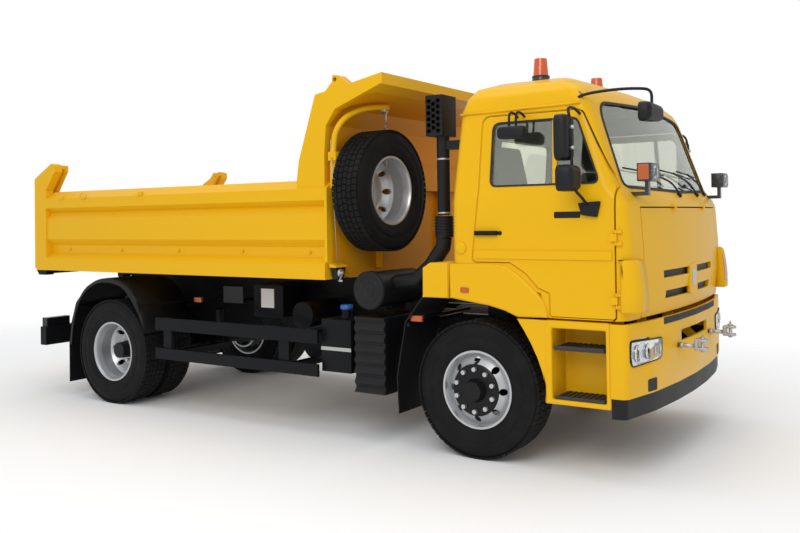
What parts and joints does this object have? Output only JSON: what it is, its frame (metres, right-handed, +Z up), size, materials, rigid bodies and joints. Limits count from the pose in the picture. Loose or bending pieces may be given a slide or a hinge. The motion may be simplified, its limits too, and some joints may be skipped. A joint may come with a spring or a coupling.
{
  "type": "dump truck",
  "caption": "Two-axle cab-over dump truck with a tilting cab, opening doors, steered front wheels, twin rear wheels and a rear-tipping open body with a hinged tailgate.",
  "frame": {"origin": "on the ground, under the middle of the lorry's length and width", "axes": "+X forward, +Y to the lorry's left, +Z up"},
  "size_m": [7.1, 3.04, 3.092],
  "materials": {
    "cab_paint": "gloss yellow paint",
    "body_paint": "gloss yellow paint",
    "frame_paint": "satin dark paint",
    "axle_iron": "satin black",
    "spring_steel": "satin black",
    "black_plastic": "matt black",
    "tyre_rubber": "matt rubber",
    "rim_paint": "silver paint with a black hub",
    "window_glass": "clear, slightly green",
    "lamp_lens": "clear and red lenses",
    "amber_lens": "amber domes on a black foot",
    "steel": "bare steel",
    "aluminium": "satin",
    "white_box": "light grey",
    "seat_cloth": "woven cloth",
    "cabin_plastic": "grained"
  },
  "bodies": {
    "chassis": {"chassis_frame": "frame_paint", "power_unit": "axle_iron", "front_axle": "axle_iron", "rear_axle": "axle_iron", "leaf_springs": "spring_steel", "bumper": "cab_paint", "valance": "black_plastic", "step_skirts": "cab_paint", "step_treads": "aluminium", "lamps": "lamp_lens", "tow_forks": "steel", "side_boxes": "black_plastic", "tanks": "aluminium", "air_filter": "black_plastic", "side_guards": "white_box", "mudguards": "black_plastic", "underrun_bar": "frame_paint", "silencer": "steel"},
    "cab": {"cab_shell": "cab_paint", "cab_glass": "window_glass", "dashboard": "cabin_plastic", "seats": "seat_cloth", "cab_fenders": "cab_paint", "cab_lamps": "amber_lens", "snorkel": "black_plastic", "wipers": "black_plastic", "front_mirror": "black_plastic"},
    "front_panel": {"front_panel": "cab_paint", "grille": "black_plastic"},
    "door_right": {"door_right": "cab_paint", "door_glass_right": "window_glass", "mirror_right": "black_plastic"},
    "door_left": {"door_left": "cab_paint", "door_glass_left": "window_glass", "mirror_left": "black_plastic"},
    "dump_body": {"tub": "body_paint", "headboard": "body_paint", "spare_tyre": "tyre_rubber", "spare_rim": "rim_paint", "davit": "body_paint"},
    "tailgate": {"tailgate": "body_paint"},
    "knuckle_left": {"knuckle_left": "axle_iron"},
    "knuckle_right": {"knuckle_right": "axle_iron"},
    "tie_rod": {"tie_rod": "steel"},
    "wheel_front_left": {"tyre_front_left": "tyre_rubber", "rim_front_left": "rim_paint"},
    "wheel_front_right": {"tyre_front_right": "tyre_rubber", "rim_front_right": "rim_paint"},
    "wheels_rear_left": {"tyres_rear_left": "tyre_rubber", "rims_rear_left": "rim_paint"},
    "wheels_rear_right": {"tyres_rear_right": "tyre_rubber", "rims_rear_right": "rim_paint"},
    "hoist_barrel": {"hoist_barrel": "frame_paint"},
    "hoist_stage_1": {"hoist_stage_1": "steel"},
    "hoist_stage_2": {"hoist_stage_2": "steel"},
    "hoist_rod": {"hoist_rod": "steel"}
  },
  "joints": [
    {"name": "cab_tilt", "type": "hinge", "parent": "chassis", "child": "cab", "pos_m": [3.255, 0, 0.8], "axis": [0, 1, 0], "range_deg": [0, 50]},
    {"name": "panel_lift", "type": "hinge", "parent": "cab", "child": "front_panel", "pos_m": [3.316, 0, 1.902], "axis": [0, -1, 0], "range_deg": [0, 70]},
    {"name": "door_right_open", "type": "hinge", "parent": "cab", "child": "door_right", "pos_m": [3.152, -1.246, 1.5], "axis": [0, 0, 1], "range_deg": [0, 70]},
    {"name": "door_left_open", "type": "hinge", "parent": "cab", "child": "door_left", "pos_m": [3.152, 1.246, 1.5], "axis": [0, 0, -1], "range_deg": [0, 70]},
    {"name": "body_tip", "type": "hinge", "parent": "chassis", "child": "dump_body", "pos_m": [-3.07, 0, 1.24], "axis": [0, -1, 0], "range_deg": [0, 50]},
    {"name": "tailgate_swing", "type": "hinge", "parent": "dump_body", "child": "tailgate", "pos_m": [-3.155, 0, 2.43], "axis": [0, 1, 0], "range_deg": [0, 70]},
    {"name": "steer_left", "type": "hinge", "parent": "chassis", "child": "knuckle_left", "pos_m": [1.99, 0.86, 0.525], "axis": [0, 0, 1], "range_deg": [-35, 35]},
    {"name": "steer_right", "type": "hinge", "parent": "chassis", "child": "knuckle_right", "pos_m": [1.99, -0.86, 0.525], "axis": [0, 0, 1], "range_deg": [-35, 35]},
    {"name": "tie_rod_turn", "type": "hinge", "parent": "knuckle_left", "child": "tie_rod", "pos_m": [1.79, 0.86, 0.391], "axis": [0, 0, 1], "range_deg": [-35, 35]},
    {"name": "wheel_front_left_roll", "type": "hinge", "parent": "knuckle_left", "child": "wheel_front_left", "pos_m": [1.99, 1.02, 0.525], "axis": [0, 1, 0], "continuous": true},
    {"name": "wheel_front_right_roll", "type": "hinge", "parent": "knuckle_right", "child": "wheel_front_right", "pos_m": [1.99, -1.02, 0.525], "axis": [0, 1, 0], "continuous": true},
    {"name": "wheels_rear_left_roll", "type": "hinge", "parent": "chassis", "child": "wheels_rear_left", "pos_m": [-2.21, 0.945, 0.525], "axis": [0, 1, 0], "continuous": true},
    {"name": "wheels_rear_right_roll", "type": "hinge", "parent": "chassis", "child": "wheels_rear_right", "pos_m": [-2.21, -0.945, 0.525], "axis": [0, 1, 0], "continuous": true},
    {"name": "hoist_swing", "type": "hinge", "parent": "chassis", "child": "hoist_barrel", "pos_m": [-1.7165, 0, 0.72], "axis": [0, -1, 0], "range_deg": [0, 25]},
    {"name": "hoist_slide_1", "type": "slide", "parent": "hoist_barrel", "child": "hoist_stage_1", "axis": [0.1621, 0, 0.9868], "range_m": [0, 0.3822]},
    {"name": "hoist_slide_2", "type": "slide", "parent": "hoist_stage_1", "child": "hoist_stage_2", "axis": [0.1621, 0, 0.9868], "range_m": [0, 0.3822]},
    {"name": "hoist_slide_3", "type": "slide", "parent": "hoist_stage_2", "child": "hoist_rod", "axis": [0.1621, 0, 0.9868], "range_m": [0, 0.3822]}
  ],
  "couplings": [
    {"joint": "steer_right", "follows": "steer_left", "ratio": 1},
    {"joint": "tie_rod_turn", "follows": "steer_left", "ratio": -1},
    {"joint": "hoist_swing", "follows": "body_tip", "ratio": 0.5},
    {"joint": "hoist_slide_1", "follows": "body_tip", "m_per_rad": 0.4374},
    {"joint": "hoist_slide_2", "follows": "body_tip", "m_per_rad": 0.4374},
    {"joint": "hoist_slide_3", "follows": "body_tip", "m_per_rad": 0.4374}
  ]
}
